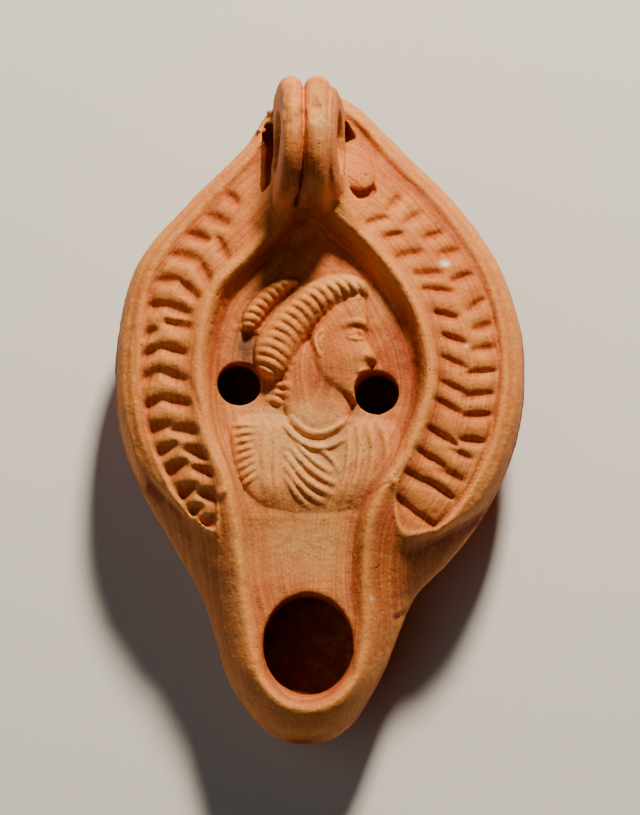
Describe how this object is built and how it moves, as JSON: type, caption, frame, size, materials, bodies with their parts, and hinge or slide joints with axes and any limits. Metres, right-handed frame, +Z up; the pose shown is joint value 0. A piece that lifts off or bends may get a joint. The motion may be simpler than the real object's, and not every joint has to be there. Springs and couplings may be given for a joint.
{
  "type": "roman oil lamp",
  "caption": "Mould-made fired clay oil lamp with a pierced handle, herringbone shoulders, a bust in relief on the sunken discus, filling holes and a wide wick hole.",
  "frame": {"origin": "under the middle of the lamp's box, on the table", "axes": "+Z up, +Y from the nozzle towards the handle, +X to the right seen from the nozzle"},
  "size_m": [0.0754, 0.1238, 0.0444],
  "materials": {
    "fired_clay": "unglazed, worn red-orange slip"
  },
  "bodies": {
    "root": {"oil_lamp": "fired_clay"}
  },
  "joints": []
}
